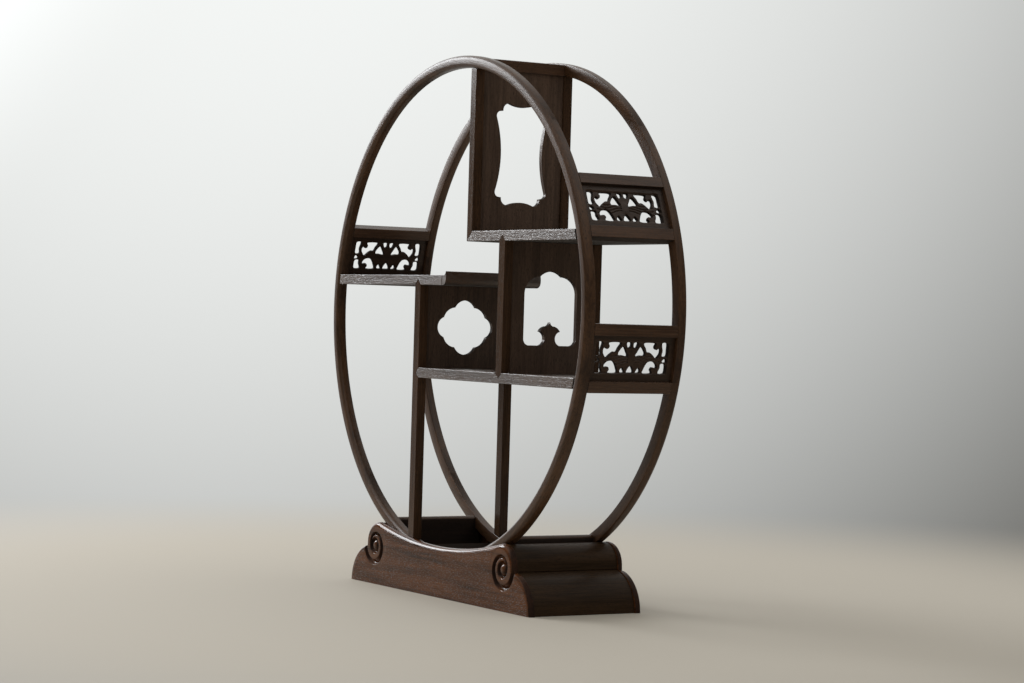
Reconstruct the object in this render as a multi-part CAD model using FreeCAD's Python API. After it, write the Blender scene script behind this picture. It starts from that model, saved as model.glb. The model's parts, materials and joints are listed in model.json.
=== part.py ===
import FreeCAD, Part
import math
import os

from FreeCAD import Vector

os.makedirs("parts", exist_ok=True)

# Driving sizes, in millimetres. X runs along the front, Y to the back, Z up.
# The origin is on the floor, under the centre of the rings.
ring_radius = 400.0
ring_width = 19.0
ring_depth = 16.0
ring_spread = 178.0
ring_lift = 50.0
ring_front_round = 6.5
ring_back_round = 1.2
ring_segments = 6
ring_joint_angle = 49.5
ring_lap_length = 24.0
ring_pin = 5.0
ring_pin_bite = 3.0

shelf_thickness = 16.0
shelf_setback = 1.0
upper_shelf_rise = 124.5
left_shelf_rise = 56.0
bottom_shelf_rise = -92.5
left_shelf_end = -14.5
lip_rise = 6.5
lip_width = 13.0
lip_hollow = 7.5
lip_crest_setback = 1.6
lip_crest_drop = 1.0

post_width = 18.0
stile_width = 16.0
left_post_x = -105.0
centre_stile_x = 155.0
upper_stile_x = 55.0
tie_rail_inset = 2.0
panel_thickness = 8.0

guard_panel_height = 66.5
guard_rail_height = 17.0
guard_panel_thickness = 7.0

base_height = 101.5
base_board = 10.6
cradle_drop = 22.0
roll_radius = 35.0
roll_offset = 11.6
lobe_show = 51.0
lobe_reach = 61.5
lobe_height = 61.5
moulding_inset = 3.0
moulding_start = 13.5
tie_rise = 9.5
tie_thickness = 11.5
tie_setout = 1.0
bearer_x = 118.0
bearer_width = 20.0
scroll_groove = 3.0
scroll_lift = 2.0
glue_block = 22.0
dowel_radius = 4.0
dowel_bite = 23.0

# Clearances and joint depths shared by all the pieces.
curve_gap = 0.3
tenon_gap = 0.15
end_gap = 0.5
ring_gap = 0.4
tongue = 4.0
tenon_length = 7.0
stub_thickness = 4.5
mitre_depth = 6.0

# Positions derived from the sizes above.
ring_centre_height = ring_lift + ring_radius
ring_inner = ring_radius - ring_width
ring_middle = ring_radius - ring_width / 2
ring_front = -ring_spread / 2
ring_back = ring_front + ring_depth
ring_split = ring_front + ring_depth / 2
inner_half = -ring_back
shelf_half = ring_spread / 2 - shelf_setback
board_inner = ring_spread / 2 + ring_gap
board_outer = board_inner + base_board
upper_shelf_top = ring_centre_height + upper_shelf_rise
left_shelf_top = ring_centre_height + left_shelf_rise
bottom_shelf_top = ring_centre_height + bottom_shelf_rise
upper_shelf_bottom = upper_shelf_top - shelf_thickness
left_shelf_bottom = left_shelf_top - shelf_thickness
bottom_shelf_bottom = bottom_shelf_top - shelf_thickness
tie_top = base_height + tie_rise
tie_inner = math.sqrt(ring_inner ** 2 - (ring_centre_height - tie_top) ** 2) + tie_setout
tie_outer = tie_inner + tie_thickness
roll_x = tie_outer + roll_offset
roll_z = base_height - roll_radius
roll_side = roll_x + roll_radius
half_length = roll_side + lobe_show
lobe_centre = half_length - lobe_reach
axis_point = Vector(0, 0, ring_centre_height)
ring_axis = Vector(0, -1, 0)


def save(shape, name):
    shape.removeSplitter().exportStep("parts/" + name + ".step")


def group(solids):
    return Part.makeCompound(solids)


def block(x0, x1, y0, y1, z0, z1):
    return Part.makeBox(x1 - x0, y1 - y0, z1 - z0, Vector(x0, y0, z0))


def drum(radius, y0, y1):
    return Part.makeCylinder(radius, y1 - y0, Vector(0, y0, ring_centre_height), Vector(0, 1, 0))


def to_back(shape):
    return shape.mirror(Vector(0, 0, 0), Vector(0, 1, 0))


def to_left(shape):
    return shape.mirror(Vector(0, 0, 0), Vector(1, 0, 0))


def turned(shape, angle):
    # Positive angles lift the right-hand end, turning about the axis of the rings.
    result = shape.copy()
    result.rotate(axis_point, ring_axis, angle)
    return result


def prism(points, y0, y1):
    # Straight-sided outline in the front plane, carried from y0 to y1.
    corners = [Vector(x, y0, z) for x, z in points]
    face = Part.Face(Part.makePolygon(corners + corners[:1]))
    return face.extrude(Vector(0, y1 - y0, 0))


def line(a, b):
    return Part.LineSegment(a, b).toShape()


def arc(a, b, c):
    return Part.Arc(a, b, c).toShape()


def polar_block(angle, radius, radial, tangential, y0, y1):
    # Block set square to the radius of the rings at the given angle.
    x0 = radius - radial / 2
    z0 = ring_centre_height - tangential / 2
    shape = block(x0, x0 + radial, y0, y1, z0, z0 + tangential)
    return turned(shape, angle)


def sector(r0, r1, y0, y1, a0, a1):
    corners = [(r0, y0), (r1, y0), (r1, y1), (r0, y1)]
    points = [Vector(r, y, ring_centre_height) for r, y in corners]
    face = Part.Face(Part.makePolygon(points + points[:1]))
    return turned(face, a0).revolve(axis_point, ring_axis, a1 - a0)


def rim_angle(height):
    # Angle at which the inner rim of the rings reaches a height above the floor.
    return math.degrees(math.asin((height - ring_centre_height) / ring_inner))


# Rings: six curved segments each, joined by laps that are locked with square pins.
def ring_layer_face(front):
    # The front layer has rounded edges, the back layer nearly square ones.
    r0 = ring_inner
    r1 = ring_radius
    z = ring_centre_height
    edge = ring_front if front else ring_back
    turn = ring_front_round if front else ring_back_round
    step = turn if front else -turn
    bulge = turn * (1 - math.sqrt(0.5))
    lift = bulge if front else -bulge
    p0 = Vector(r0, ring_split, z)
    p1 = Vector(r0, edge + step, z)
    p2 = Vector(r0 + bulge, edge + lift, z)
    p3 = Vector(r0 + turn, edge, z)
    p4 = Vector(r1 - turn, edge, z)
    p5 = Vector(r1 - bulge, edge + lift, z)
    p6 = Vector(r1, edge + step, z)
    p7 = Vector(r1, ring_split, z)
    edges = [line(p0, p1), arc(p1, p2, p3), line(p3, p4), arc(p4, p5, p6), line(p6, p7), line(p7, p0)]
    return Part.Face(Part.Wire(edges))


segment_sweep = 360.0 / ring_segments
lap_sweep = math.degrees(ring_lap_length / ring_middle)
pin_start = ring_split - ring_pin_bite
pin_places = []
ring_parts = []
for number in range(ring_segments):
    joint = ring_joint_angle + number * segment_sweep
    front_layer = turned(ring_layer_face(True), joint).revolve(axis_point, ring_axis, segment_sweep)
    back_face = turned(ring_layer_face(False), joint - lap_sweep)
    back_layer = back_face.revolve(axis_point, ring_axis, segment_sweep)
    ring_parts.append(front_layer.fuse(back_layer).removeSplitter())
    pin_angle = joint - lap_sweep / 2
    pin_places.append(polar_block(pin_angle, ring_middle, ring_pin, ring_pin, pin_start, ring_back))

# Sockets that other pieces need in the front ring; the back ring mirrors them.
ring_sockets = list(pin_places)


def ring_tenon(angle, radius, radial, tangential):
    # Tenon reaching from an inner face of the rings into both of them.
    front = polar_block(angle, radius, radial, tangential, ring_back - tenon_length, ring_back)
    gap = 2 * tenon_gap
    deep = ring_back - tenon_length - end_gap
    ring_sockets.append(polar_block(angle, radius, radial + gap, tangential + gap, deep, ring_back))
    return [front, to_back(front)]


# Guards: curved rails top and bottom, and a flat pierced panel held in their grooves.
# The holes are drawn for a panel of this size, then stretched to the real one.
drawn_half = 73.0
drawn_height = 65.1
pair_holes = [
    [(61, 55.3), (52.4, 55.3), (54.4, 44.5), (53.8, 36.9), (61.6, 36.7), (62.2, 45.4)],
    [(40, 55.1), (21, 55.1), (24.3, 47.5), (27.2, 41.9), (32, 41.7), (37.8, 38), (43, 33.3),
     (46.4, 35.2), (49.7, 40.3), (50, 45.1), (47.4, 48), (44, 45.6), (40.6, 46.7), (39.2, 50.1)],
    [(15.5, 49.6), (22.6, 41.7), (22.4, 37.1), (15.8, 36.9), (7.2, 35.8), (9.8, 42.2)],
    [(9.6, 55.5), (2.6, 55.1), (2.4, 49.9), (5.4, 47.9), (7.8, 48.6)],
    [(60, 33.3), (55.4, 29.8), (56.6, 27.6), (61.6, 27.4), (62.4, 29.6)],
    [(60.4, 25), (52.8, 24.9), (52.4, 19.2), (50, 11.6), (60, 11.2), (62, 16.6)],
    [(36, 28.7), (31, 27.8), (27.4, 24.4), (24, 17.9), (23, 11.4), (37.6, 11.4), (36.2, 16),
     (38.4, 19.8), (42.6, 19.6), (45.8, 19.2), (45.6, 23.1), (41.6, 27.2)],
    [(14.4, 19), (17.8, 14.4), (15.8, 12), (10, 12.1), (11.6, 15.7)],
]
middle_hole = [(0, 21.7), (3.8, 17.9), (5.8, 12.3), (0, 11.8), (-5.8, 12.3), (-3.8, 17.9)]


def guard_holes(half, height, bottom, thickness):
    # Each hole is a smooth closed curve pressed through the panel.
    outlines = [middle_hole]
    for hole in pair_holes:
        outlines.append(hole)
        outlines.append([(-y, v) for y, v in reversed(hole)])
    cutters = []
    for outline in outlines:
        points = []
        for y, v in outline:
            u = bottom + v * height / drawn_height
            points.append(Vector(ring_middle - thickness, y * half / drawn_half, u))
        curve = Part.BSplineCurve()
        curve.interpolate(Points=points, PeriodicFlag=True)
        face = Part.Face(Part.Wire([curve.toShape()]))
        cutters.append(face.extrude(Vector(2 * thickness, 0, 0)))
    return cutters


def make_guard(low, high, left):
    # The bottom rail carries on the line of the shelf whose end it closes.
    a0 = rim_angle(low)
    a1 = rim_angle(high)
    a2 = a1 + math.degrees(guard_panel_height / ring_middle)
    a3 = a2 + math.degrees(guard_rail_height / ring_middle)
    bottom_rail = sector(ring_inner, ring_radius, -inner_half, inner_half, a0, a1)
    top_rail = sector(ring_inner, ring_radius, -inner_half, inner_half, a2, a3)
    # The panel stands upright at angle zero, then turns to lie along the chord.
    chord = 2 * ring_middle * math.sin(math.radians(a2 - a1) / 2)
    half_chord = chord / 2
    reach = ring_middle * math.cos(math.radians(a2 - a1) / 2)
    thick = guard_panel_thickness
    z0 = ring_centre_height - half_chord
    z1 = ring_centre_height + half_chord
    panel = block(reach - thick / 2, reach + thick / 2, -inner_half, inner_half, z0 - tongue, z1 + tongue)
    panel = panel.cut(guard_holes(inner_half, chord, z0, thick * 3))
    side = thick / 2 + tenon_gap
    depth = tongue + end_gap
    groove = block(reach - side, reach + side, -inner_half, inner_half, z0 - depth, z1 + depth)
    middle = (a1 + a2) / 2
    panel = turned(panel, middle)
    groove = turned(groove, middle)
    bottom_rail = bottom_rail.cut(groove)
    top_rail = top_rail.cut(groove)
    if left:
        panel = to_left(panel)
        bottom_rail = to_left(bottom_rail)
        top_rail = to_left(top_rail)
    for key, first, last in (("bottom", a0, a1), ("top", a2, a3)):
        angle = (first + last) / 2
        width = math.radians(last - first) * ring_middle / 2
        shift = 0.25 * width if key == "top" else -0.25 * width
        angle = angle + math.degrees(shift / ring_middle)
        if left:
            angle = 180.0 - angle
        tenons = ring_tenon(angle, ring_middle, ring_width * 0.4, width * 0.9)
        if key == "top":
            top_rail = top_rail.fuse(tenons)
        else:
            bottom_rail = bottom_rail.fuse(tenons)
    return {"top_rail": top_rail, "bottom_rail": bottom_rail, "panel": panel}


guards = {
    "upper_right_guard": make_guard(upper_shelf_bottom, upper_shelf_top, False),
    "lower_right_guard": make_guard(bottom_shelf_bottom, bottom_shelf_top, False),
    "left_guard": make_guard(left_shelf_bottom, left_shelf_top, True),
}

# Shelves end on the inner rim of the rings, and a tongue enters each bottom rail.
inside = drum(ring_inner - curve_gap, -ring_spread, ring_spread)
tongue_half = inner_half * 0.65
tongue_thickness = shelf_thickness * 0.35


def shelf_tongue(right, bottom, slack):
    # Stub on the end of a shelf; slack turns it into the slot that takes it.
    middle = bottom + shelf_thickness / 2
    rise = max(abs(bottom - ring_centre_height), abs(bottom + shelf_thickness - ring_centre_height))
    start = math.sqrt(ring_inner ** 2 - rise ** 2) - tongue
    end = math.sqrt(ring_inner ** 2 - (middle - ring_centre_height) ** 2) + tongue
    half = tongue_half + slack
    thick = tongue_thickness / 2 + slack
    shape = block(start, end + (end_gap if slack else 0), -half, half, middle - thick, middle + thick)
    return shape if right else to_left(shape)


stile_depth = ring_depth - shelf_setback
stile_back = -shelf_half + stile_depth
mitre_back = -shelf_half + mitre_depth


def both_ends(shape):
    return [shape, to_back(shape)]


def mitre_tip(x, width, z, up):
    # Pointed end of an upright, let into the edge of a shelf.
    height = width / 2 if up else -width / 2
    points = [(x - width / 2, z), (x + width / 2, z), (x, z + height)]
    return prism(points, -shelf_half, mitre_back)


left_tip = mitre_tip(left_post_x, post_width, left_shelf_bottom, True)
centre_top_tip = mitre_tip(centre_stile_x, post_width, upper_shelf_bottom, True)
centre_low_tip = mitre_tip(centre_stile_x, post_width, bottom_shelf_top, False)
upper_left = upper_stile_x - stile_width / 2
upper_right = upper_stile_x + stile_width / 2
corner_drop = min(stile_width, shelf_thickness)
corner_points = [
    (upper_left, upper_shelf_top),
    (upper_left + corner_drop, upper_shelf_top),
    (upper_left, upper_shelf_top - corner_drop),
]
corner_mitre = prism(corner_points, -shelf_half, stile_back)

lip_inner = left_shelf_end - lip_width
left_shelf = block(-ring_radius, lip_inner, -shelf_half, shelf_half, left_shelf_bottom, left_shelf_top)
left_shelf = left_shelf.common(inside).cut(both_ends(left_tip))
left_shelf = left_shelf.fuse(shelf_tongue(False, left_shelf_bottom, 0))
lip_tongue_z = left_shelf_bottom + shelf_thickness / 2
lip_tongue = block(lip_inner - tongue, lip_inner + tongue, -tongue_half, tongue_half,
                   lip_tongue_z - tongue_thickness / 2, lip_tongue_z + tongue_thickness / 2)
left_shelf = left_shelf.fuse(lip_tongue)
guards["left_guard"]["bottom_rail"] = guards["left_guard"]["bottom_rail"].cut(
    shelf_tongue(False, left_shelf_bottom, tenon_gap))

upper_shelf = block(upper_left, ring_radius, -shelf_half, shelf_half, upper_shelf_bottom, upper_shelf_top)
upper_shelf = upper_shelf.common(inside).cut(both_ends(corner_mitre) + both_ends(centre_top_tip))
upper_shelf = upper_shelf.fuse(shelf_tongue(True, upper_shelf_bottom, 0))
guards["upper_right_guard"]["bottom_rail"] = guards["upper_right_guard"]["bottom_rail"].cut(
    shelf_tongue(True, upper_shelf_bottom, tenon_gap))

post_left = left_post_x - post_width / 2
post_right = left_post_x + post_width / 2
shelf_point = [
    (post_right, bottom_shelf_bottom),
    (post_right, bottom_shelf_top),
    (post_right - shelf_thickness / 2, (bottom_shelf_bottom + bottom_shelf_top) / 2),
]
shelf_tip = prism(shelf_point, -shelf_half, mitre_back)
bottom_shelf = block(post_right, ring_radius, -shelf_half, shelf_half, bottom_shelf_bottom, bottom_shelf_top)
between_posts = block(post_left, post_right, stile_back, -stile_back, bottom_shelf_bottom, bottom_shelf_top)
bottom_shelf = bottom_shelf.common(inside).fuse([between_posts] + both_ends(shelf_tip))
bottom_shelf = bottom_shelf.cut(both_ends(centre_low_tip))
bottom_shelf = bottom_shelf.fuse(shelf_tongue(True, bottom_shelf_bottom, 0))
guards["lower_right_guard"]["bottom_rail"] = guards["lower_right_guard"]["bottom_rail"].cut(
    shelf_tongue(True, bottom_shelf_bottom, tenon_gap))

# Lip: a moulding on the free end of the left shelf, hollowed up to a sharp crest.
lip_round = shelf_thickness * 0.68
crest_x = left_shelf_end - lip_crest_setback
crest_z = left_shelf_top + lip_rise
round_middle = lip_round * math.sqrt(0.5)
round_x = left_shelf_end - lip_round
round_z = left_shelf_bottom + lip_round
lip_points = [
    Vector(lip_inner, -shelf_half, left_shelf_bottom),
    Vector(lip_inner, -shelf_half, left_shelf_top),
    Vector(left_shelf_end - lip_hollow, -shelf_half, left_shelf_top),
    Vector(left_shelf_end - lip_hollow * 0.48, -shelf_half, left_shelf_top + lip_rise * 0.32),
    Vector(crest_x, -shelf_half, crest_z),
    Vector(left_shelf_end, -shelf_half, left_shelf_top - lip_crest_drop),
    Vector(left_shelf_end, -shelf_half, round_z),
    Vector(round_x + round_middle, -shelf_half, round_z - round_middle),
    Vector(round_x, -shelf_half, left_shelf_bottom),
]
p = lip_points
lip_edges = [line(p[0], p[1]), line(p[1], p[2]), arc(p[2], p[3], p[4]), line(p[4], p[5]), line(p[5], p[6]),
             arc(p[6], p[7], p[8]), line(p[8], p[0])]
left_shelf_lip = Part.Face(Part.Wire(lip_edges)).extrude(Vector(0, 2 * shelf_half, 0))
lip_slot = block(lip_inner, lip_inner + tongue + end_gap, -tongue_half - tenon_gap, tongue_half + tenon_gap,
                 lip_tongue_z - tongue_thickness / 2 - tenon_gap,
                 lip_tongue_z + tongue_thickness / 2 + tenon_gap)
left_shelf_lip = left_shelf_lip.cut(lip_slot)


# Uprights: each one has a groove for its panel, and a stub let into the ring where it meets it.
def upright(x, width, z0, z1):
    body = block(x - width / 2, x + width / 2, -shelf_half, stile_back, z0, z1)
    return body.common(inside)


def panel_groove(x, z0, z1):
    half = panel_thickness / 2 + tenon_gap
    return block(x - half, x + half, stile_back - tongue - end_gap, stile_back, z0, z1)


def rim_stub(x, width, up):
    # Stub between an upright and the inner rim, with the socket noted for the ring.
    rim = math.sqrt(ring_inner ** 2 - (abs(x) + width / 2) ** 2)
    far = math.sqrt(ring_inner ** 2 - x ** 2) + tenon_length
    half = width * 0.22
    y1 = ring_back - tenon_length - end_gap
    y0 = y1 - stub_thickness
    sign = 1 if up else -1
    ends = sorted([ring_centre_height + sign * (rim - tongue), ring_centre_height + sign * far])
    deep = sorted([ring_centre_height + sign * (rim - tongue), ring_centre_height + sign * (far + end_gap)])
    g = tenon_gap
    ring_sockets.append(block(x - half - g, x + half + g, y0 - g, y1 + g, deep[0], deep[1]))
    return block(x - half, x + half, y0, y1, ends[0], ends[1])


left_post = upright(left_post_x, post_width, 0, left_shelf_bottom)
left_post = left_post.cut([panel_groove(left_post_x, bottom_shelf_top, left_shelf_bottom), shelf_tip])
left_post = left_post.fuse([left_tip, rim_stub(left_post_x, post_width, False)])
centre_stile = upright(centre_stile_x, post_width, bottom_shelf_top, upper_shelf_bottom)
centre_stile = centre_stile.cut(panel_groove(centre_stile_x, bottom_shelf_top, upper_shelf_bottom))
centre_stile = centre_stile.fuse([centre_top_tip, centre_low_tip])
upper_height = ring_centre_height + ring_radius
upper_stile = upright(upper_stile_x, stile_width, upper_shelf_top, upper_height)
upper_stile = upper_stile.cut(panel_groove(upper_stile_x, upper_shelf_top, upper_height))
upper_stile = upper_stile.fuse([corner_mitre, rim_stub(upper_stile_x, stile_width, True)])

# Rail across the top of the upper partition, between the two rings.
tie_rail = block(upper_left, upper_right, -inner_half, inner_half, ring_centre_height, upper_height)
tie_rail = tie_rail.common(drum(ring_radius - tie_rail_inset, -inner_half, inner_half))
tie_rail = tie_rail.cut(drum(ring_inner, -ring_spread, ring_spread))
tie_angle = math.degrees(math.acos(upper_stile_x / ring_middle))
tie_rail = tie_rail.fuse(ring_tenon(tie_angle, ring_middle, ring_width * 0.4, stile_width * 0.5))


# Panels of the partitions, each with its own opening.
def panel_block(x, z0, z1):
    half = panel_thickness / 2
    reach = -stile_back + tongue
    return block(x - half, x + half, -reach, reach, z0, z1).common(inside)


def opening(x, edges):
    # Outline given in the plane of the panel, pressed right through it.
    face = Part.Face(Part.Wire(edges))
    face.translate(Vector(x - 2 * panel_thickness, 0, 0))
    return face.extrude(Vector(4 * panel_thickness, 0, 0))


def at(y, z, centre, wide, tall):
    return Vector(0, y * wide, centre + z * tall)


def scroll_opening():
    # Unrolled-scroll outline: hollow sides, stepped corners, waved top and bottom.
    low = upper_shelf_top
    high = ring_centre_height + math.sqrt(ring_inner ** 2 - upper_right ** 2)
    centre = low + (high - low) * 0.487
    wide = inner_half
    tall = (high - low) / 2
    edges = []
    for side in (1, -1):
        a = at(side * 0.635, -side * 0.455, centre, wide, tall)
        b = at(side * 0.512, 0, centre, wide, tall)
        c = at(side * 0.635, side * 0.455, centre, wide, tall)
        d = at(side * 0.624, side * 0.505, centre, wide, tall)
        e = at(side * 0.557, side * 0.532, centre, wide, tall)
        f = at(side * 0.481, side * 0.537, centre, wide, tall)
        g = at(side * 0.443, side * 0.605, centre, wide, tall)
        h = at(side * 0.322, side * 0.632, centre, wide, tall)
        m = at(0, side * 0.592, centre, wide, tall)
        k = at(-side * 0.322, side * 0.632, centre, wide, tall)
        n = at(-side * 0.443, side * 0.605, centre, wide, tall)
        q = at(-side * 0.481, side * 0.537, centre, wide, tall)
        r = at(-side * 0.557, side * 0.532, centre, wide, tall)
        s = at(-side * 0.624, side * 0.505, centre, wide, tall)
        t = at(-side * 0.635, side * 0.455, centre, wide, tall)
        edges += [arc(a, b, c), arc(c, d, e), line(e, f), arc(f, g, h)]
        edges += [arc(h, m, k), arc(k, n, q), line(q, r), arc(r, s, t)]
    return edges


def flower_opening():
    # Four large lobes on the axes and four shallow ones between them.
    centre = bottom_shelf_top + (left_shelf_bottom - bottom_shelf_top) * 0.497
    wide = inner_half
    tall = (left_shelf_bottom - bottom_shelf_top) / 2
    notch = [(0.548, 0.242), (0.268, 0.483)]
    ring = []
    for sy, sz, flip in ((1, 1, False), (-1, 1, True), (-1, -1, False), (1, -1, True)):
        pair = reversed(notch) if flip else notch
        ring += [(sy * y, sz * z) for y, z in pair]
    peaks = [(0.447, 0.407), (0, 0.664), (-0.447, 0.407), (-0.703, 0), (-0.447, -0.407), (0, -0.664),
             (0.447, -0.407), (0.703, 0)]
    edges = []
    for index in range(8):
        first = at(ring[index][0], ring[index][1], centre, wide, tall)
        peak = at(peaks[index][0], peaks[index][1], centre, wide, tall)
        following = ring[(index + 1) % 8]
        last = at(following[0], following[1], centre, wide, tall)
        edges.append(arc(first, peak, last))
    return edges


def arch_opening():
    # Shouldered arch with a mushroom-shaped tongue rising from its sill.
    centre = (bottom_shelf_top + upper_shelf_bottom) / 2
    wide = inner_half
    tall = (upper_shelf_bottom - bottom_shelf_top) / 2
    half = [
        ("start", (0, -0.210)), ("arc", (0.028, -0.254), (0.068, -0.274)),
        ("arc", (0.178, -0.298), (0.250, -0.356)), ("arc", (0.128, -0.455), (0.247, -0.572)),
        ("line", (0.513, -0.572)), ("arc", (0.609, -0.543), (0.650, -0.473)), ("line", (0.650, 0.199)),
        ("arc", (0.558, 0.388), (0.275, 0.479)),
    ]
    sides = []
    for side in (1, -1):
        edges = []
        here = at(0, half[0][1][1], centre, wide, tall)
        for step in half[1:]:
            points = [at(side * y, z, centre, wide, tall) for y, z in step[1:]]
            edges.append(line(here, points[0]) if step[0] == "line" else arc(here, points[0], points[1]))
            here = points[-1]
        sides.append((edges, here))
    crown = arc(sides[0][1], at(0, 0.560, centre, wide, tall), sides[1][1])
    return sides[0][0] + [crown] + sides[1][0][::-1]


upper_panel = panel_block(upper_stile_x, upper_shelf_top, upper_height)
upper_panel = upper_panel.cut(opening(upper_stile_x, scroll_opening()))
centre_panel = panel_block(centre_stile_x, bottom_shelf_top, upper_shelf_bottom)
centre_panel = centre_panel.cut(opening(centre_stile_x, arch_opening()))
left_panel = panel_block(left_post_x, bottom_shelf_top, left_shelf_bottom)
left_panel = left_panel.cut(opening(left_post_x, flower_opening()))


# Base: two scrolled boards with roll mouldings between them at both ends.
def lobe_edge(inset, y, last):
    # Ellipse of the lower roll, from its foot up to the angle where it stops.
    points = []
    for step in range(7):
        t = last * step / 6
        points.append(Vector(lobe_centre - inset + lobe_reach * math.cos(t), y, lobe_height * math.sin(t)))
    leaving = Vector(-lobe_reach * math.sin(last), 0, lobe_height * math.cos(last))
    leaving.normalize()
    curve = Part.BSplineCurve()
    curve.interpolate(Points=points, InitialTangent=Vector(0, 0, 1), FinalTangent=leaving)
    return curve.toShape(), points[0], points[-1]


def board_outline(y):
    # The cradle is one arc that runs smoothly into the rolls at both ends.
    bottom_z = base_height - cradle_drop
    drop = bottom_z - roll_z
    cradle = (roll_x ** 2 + drop ** 2 - roll_radius ** 2) / (2 * (roll_radius - drop))
    span = cradle + roll_radius
    touch_x = cradle * roll_x / span
    touch_z = bottom_z + cradle - cradle * (bottom_z + cradle - roll_z) / span
    lobe, foot, notch = lobe_edge(0, y, math.acos((roll_side - lobe_centre) / lobe_reach))
    side = Vector(roll_side, y, roll_z)
    start = math.atan2(touch_z - roll_z, touch_x - roll_x)
    middle = start / 2
    over = Vector(roll_x + roll_radius * math.cos(middle), y, roll_z + roll_radius * math.sin(middle))
    touch = Vector(touch_x, y, touch_z)
    right = [lobe, line(notch, side), arc(side, over, touch)]
    left = [to_left(edge) for edge in right]
    mirror_touch = Vector(-touch_x, y, touch_z)
    top = arc(touch, Vector(0, y, bottom_z), mirror_touch)
    sill = line(Vector(-foot.x, y, 0), foot)
    return Part.Wire(Part.__sortEdges__(right + left + [top, sill]))


def scroll_cutter(y):
    # Spiral groove of four half turns, each a smaller share of the roll's width than the one before.
    z0 = lobe_height + scroll_lift
    shares = [0.740, 0.555, 0.405, 0.300]
    cutters = []
    here = roll_side
    for index, share in enumerate(shares):
        sign = -1 if index % 2 == 0 else 1
        end = here + sign * share * 2 * roll_radius
        centre = Vector((here + end) / 2, y, z0)
        circle = Part.Wire(Part.makeCircle(scroll_groove, Vector(here, y, z0), Vector(0, 0, 1)))
        disc = Part.Face(circle)
        cutters.append(disc.revolve(centre, Vector(0, 1, 0), 180))
        here = end
    return cutters


bearer_inner = bearer_x - bearer_width / 2
bearer_outer = bearer_x + bearer_width / 2
outside = drum(ring_radius + curve_gap, -ring_spread, ring_spread)
bearer = block(bearer_inner, bearer_outer, -board_inner, board_inner, 0, ring_centre_height)
bearer = bearer.cut(outside)
bearer = bearer.common(block(0, ring_radius, -board_inner, board_inner, 0, base_height))

# Dowels pin the bearers between the front and back boards.
dowels = []
holes = []
dowel_start = -board_inner - base_board * 0.6
dowel_length = base_board * 0.6 + dowel_bite
rim_drop = ring_centre_height - math.sqrt(ring_radius ** 2 - bearer_inner ** 2)
for height in (rim_drop * 0.28, rim_drop * 0.70):
    for sign in (1, -1):
        base_point = Vector(sign * bearer_x, dowel_start, height)
        pin = Part.makeCylinder(dowel_radius, dowel_length, base_point, Vector(0, 1, 0))
        start = Vector(sign * bearer_x, dowel_start - end_gap, height)
        hole = Part.makeCylinder(dowel_radius + tenon_gap, dowel_length + 2 * end_gap, start, Vector(0, 1, 0))
        dowels += both_ends(pin)
        holes += both_ends(hole)

front_board = Part.Face(board_outline(-board_outer)).extrude(Vector(0, base_board, 0))
scrolls = scroll_cutter(-board_outer)
front_board = front_board.cut(scrolls + [to_left(piece) for piece in scrolls])
front_board = front_board.cut(holes)
back_board = to_back(front_board)
right_bearer = bearer.cut(holes)
left_bearer = to_left(right_bearer)

# Side mouldings: a lower roll with a smaller one standing on it, against the side tie.
lower_inner = tie_outer + moulding_start
lower_edge, lower_foot, lower_crown = lobe_edge(moulding_inset, -board_inner, math.pi / 2)
corner_low = Vector(lower_inner, -board_inner, 0)
corner_high = Vector(lower_inner, -board_inner, lobe_height)
lower_wire = Part.Wire([lower_edge, line(lower_crown, corner_high), line(corner_high, corner_low),
                        line(corner_low, lower_foot)])
lower_roll = Part.Face(lower_wire).extrude(Vector(0, 2 * board_inner, 0))
turn_side = roll_side - moulding_inset
roll_top = base_height - moulding_inset / 3
turn = roll_radius - moulding_inset / 2
turn_x = turn_side - turn
turn_z = roll_top - turn
upper_points = [
    Vector(tie_outer, -board_inner, lobe_height),
    Vector(turn_side, -board_inner, lobe_height),
    Vector(turn_side, -board_inner, turn_z),
    Vector(turn_x + turn * math.sqrt(0.5), -board_inner, turn_z + turn * math.sqrt(0.5)),
    Vector(turn_x, -board_inner, roll_top),
    Vector(tie_outer, -board_inner, roll_top),
]
p = upper_points
upper_edges = [line(p[0], p[1]), line(p[1], p[2]), arc(p[2], p[3], p[4]), line(p[4], p[5]), line(p[5], p[0])]
upper_roll = Part.Face(Part.Wire(upper_edges)).extrude(Vector(0, 2 * board_inner, 0))
upper_roll = upper_roll.cut(outside)

# Side ties stand between the rings and show as a low strip above the rolls.
side_tie = block(tie_inner, tie_outer, -inner_half, inner_half, lobe_height * 0.35, tie_top)
edge_round = [edge for edge in side_tie.Edges
              if abs(edge.CenterOfMass.z - tie_top) < 0.01 and abs(edge.CenterOfMass.y) < 0.01]
side_tie = side_tie.makeFillet(tie_thickness * 0.3, edge_round)
tie_x = (tie_inner + tie_outer) / 2
tie_reach = -math.degrees(math.acos(tie_x / ring_middle))
side_tie = side_tie.fuse(ring_tenon(tie_reach, ring_middle, ring_width * 0.4, tie_thickness * 0.5))
left_tie = to_left(side_tie)
ring_tenon(180.0 - tie_reach, ring_middle, ring_width * 0.4, tie_thickness * 0.5)

blocks = []
for sign in (1, -1):
    low = lobe_height * 0.08
    high = lobe_height * 0.85
    corners = [Vector(lower_inner, -board_inner, low), Vector(lower_inner - glue_block, -board_inner, low),
               Vector(lower_inner, -board_inner + glue_block, low)]
    face = Part.Face(Part.makePolygon(corners + corners[:1]))
    piece = face.extrude(Vector(0, 0, high - low))
    piece = piece if sign > 0 else to_left(piece)
    blocks += both_ends(piece)

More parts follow.
